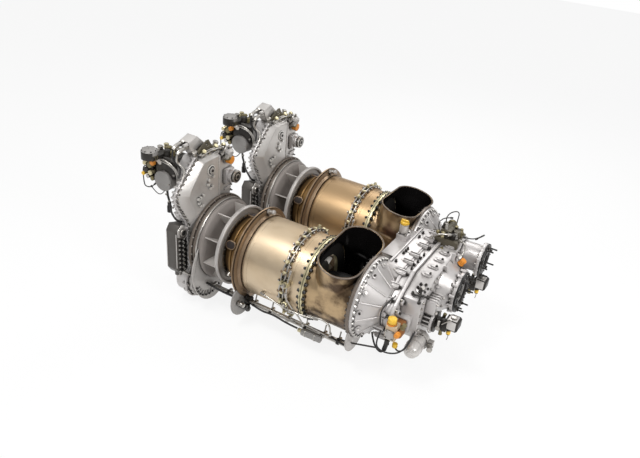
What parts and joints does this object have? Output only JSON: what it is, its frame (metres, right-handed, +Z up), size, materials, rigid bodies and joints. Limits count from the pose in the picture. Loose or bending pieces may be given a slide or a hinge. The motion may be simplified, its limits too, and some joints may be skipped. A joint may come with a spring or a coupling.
{
  "type": "turboshaft engine",
  "caption": "Twin-pack turboshaft engine: power sections side by side in bronze cases with upward exhausts drive a shared combining gearbox",
  "frame": {"origin": "Centre of the main output drive face of the combining gearbox", "axes": "+X out of the main output drive, +Y towards the left power section, +Z up"},
  "size_m": [1.605, 1.128, 0.8829],
  "materials": {
    "bronze_case": "satin",
    "grey_cast": "satin",
    "hot_steel": "satin",
    "steel": "satin",
    "titanium": "satin",
    "dark_fitting": "satin",
    "orange_fitting": "satin",
    "yellow_cap": "satin"
  },
  "bodies": {
    "engine": {"accessory_cases": "grey_cast", "accessory_covers": "grey_cast", "accessory_ports": "grey_cast", "combustion_liners": "hot_steel", "compressor_cases": "bronze_case", "control_valves": "dark_fitting", "drive_faces": "dark_fitting", "exciter_boxes": "grey_cast", "exhaust_cones": "hot_steel", "filler_neck": "grey_cast", "firewall_flanges": "bronze_case", "fuel_controls": "dark_fitting", "fuel_manifolds": "steel", "gas_generator_cases": "bronze_case", "gearbox_front_case": "grey_cast", "gearbox_middle_case": "grey_cast", "gearbox_rear_case": "grey_cast", "governor_pads": "grey_cast", "governors": "dark_fitting", "inlet_cases": "bronze_case", "inlet_lips": "grey_cast", "inlet_struts": "steel", "input_housings": "grey_cast", "left_exhaust_duct": "hot_steel", "lifting_brackets": "dark_fitting", "oil_filter": "grey_cast", "oil_tanks": "dark_fitting", "output_neck": "grey_cast", "right_exhaust_duct": "hot_steel", "service_pipes": "steel", "starter_pads": "grey_cast", "tail_drive_neck": "grey_cast", "torque_sensor": "orange_fitting", "turbine_flanges": "bronze_case"},
    "left_spool": {"left_compressor_rotor": "titanium", "left_gas_turbine": "steel"},
    "right_spool": {"right_compressor_rotor": "titanium", "right_gas_turbine": "steel"},
    "left_power": {"left_power_turbine": "steel"},
    "right_power": {"right_power_turbine": "steel"},
    "left_reduction": {"left_reduction_gear": "steel"},
    "right_reduction": {"right_reduction_gear": "steel"},
    "output": {"output_shaft": "steel"},
    "tail_drive": {"tail_drive_shaft": "steel"},
    "left_starter": {"left_starter_gear": "steel"},
    "right_starter": {"right_starter_gear": "steel"},
    "left_bleed": {"left_bleed_piston": "steel"},
    "right_bleed": {"right_bleed_piston": "steel"},
    "left_fuel_control": {"left_fuel_lever": "steel"},
    "right_fuel_control": {"right_fuel_lever": "steel"},
    "left_speed_control": {"left_governor_lever": "steel"},
    "right_speed_control": {"right_governor_lever": "steel"},
    "filler_lid": {"filler_cap": "yellow_cap"}
  },
  "joints": [
    {"name": "output_shaft", "type": "hinge", "parent": "engine", "child": "output", "pos_m": [-0.04, 0, 0], "axis": [1, 0, 0], "continuous": true},
    {"name": "left_spool", "type": "hinge", "parent": "engine", "child": "left_spool", "pos_m": [-1, 0.3, 0], "axis": [1, 0, 0], "continuous": true},
    {"name": "left_power_turbine", "type": "hinge", "parent": "engine", "child": "left_power", "pos_m": [-0.45, 0.3, 0], "axis": [1, 0, 0], "continuous": true},
    {"name": "left_reduction", "type": "hinge", "parent": "engine", "child": "left_reduction", "pos_m": [-0.2, 0.189, 0], "axis": [1, 0, 0], "continuous": true},
    {"name": "left_starter", "type": "hinge", "parent": "engine", "child": "left_starter", "pos_m": [-1.32, 0.3, 0.096], "axis": [1, 0, 0], "continuous": true},
    {"name": "left_fuel_lever", "type": "hinge", "parent": "engine", "child": "left_fuel_control", "pos_m": [-1.413, 0.11, 0.419], "axis": [0, 1, 0], "range_deg": [-25, 25]},
    {"name": "left_speed_lever", "type": "hinge", "parent": "engine", "child": "left_speed_control", "pos_m": [-0.017, 0.2, -0.066], "axis": [0, 1, 0], "range_deg": [-20, 20]},
    {"name": "left_bleed_valve", "type": "slide", "parent": "engine", "child": "left_bleed", "axis": [0, -0.8192, -0.5736], "range_m": [0, 0.012]},
    {"name": "right_spool", "type": "hinge", "parent": "engine", "child": "right_spool", "pos_m": [-1, -0.3, 0], "axis": [1, 0, 0], "continuous": true},
    {"name": "right_power_turbine", "type": "hinge", "parent": "engine", "child": "right_power", "pos_m": [-0.45, -0.3, 0], "axis": [1, 0, 0], "continuous": true},
    {"name": "right_reduction", "type": "hinge", "parent": "engine", "child": "right_reduction", "pos_m": [-0.2, -0.189, 0], "axis": [1, 0, 0], "continuous": true},
    {"name": "right_starter", "type": "hinge", "parent": "engine", "child": "right_starter", "pos_m": [-1.32, -0.3, 0.096], "axis": [1, 0, 0], "continuous": true},
    {"name": "right_fuel_lever", "type": "hinge", "parent": "engine", "child": "right_fuel_control", "pos_m": [-1.413, -0.49, 0.419], "axis": [0, 1, 0], "range_deg": [-25, 25]},
    {"name": "right_speed_lever", "type": "hinge", "parent": "engine", "child": "right_speed_control", "pos_m": [-0.017, -0.2, -0.066], "axis": [0, 1, 0], "range_deg": [-20, 20]},
    {"name": "right_bleed_valve", "type": "slide", "parent": "engine", "child": "right_bleed", "axis": [0, -0.8192, -0.5736], "range_m": [0, 0.012]},
    {"name": "tail_drive", "type": "hinge", "parent": "engine", "child": "tail_drive", "pos_m": [0, 0.21496, 0.07989], "axis": [1, 0, 0], "continuous": true},
    {"name": "filler_cap", "type": "hinge", "parent": "engine", "child": "filler_lid", "pos_m": [-0.355, 0.044, 0.23], "axis": [0, 0, 1], "range_deg": [0, 90]}
  ],
  "couplings": [
    {"joint": "tail_drive", "follows": "output_shaft", "ratio": 1.1724},
    {"joint": "left_reduction", "follows": "output_shaft", "ratio": -1.1724},
    {"joint": "left_power_turbine", "follows": "output_shaft", "ratio": 4.25},
    {"joint": "left_starter", "follows": "left_spool", "ratio": -0.33333},
    {"joint": "right_reduction", "follows": "output_shaft", "ratio": -1.1724},
    {"joint": "right_power_turbine", "follows": "output_shaft", "ratio": 4.25},
    {"joint": "right_starter", "follows": "right_spool", "ratio": -0.33333}
  ]
}
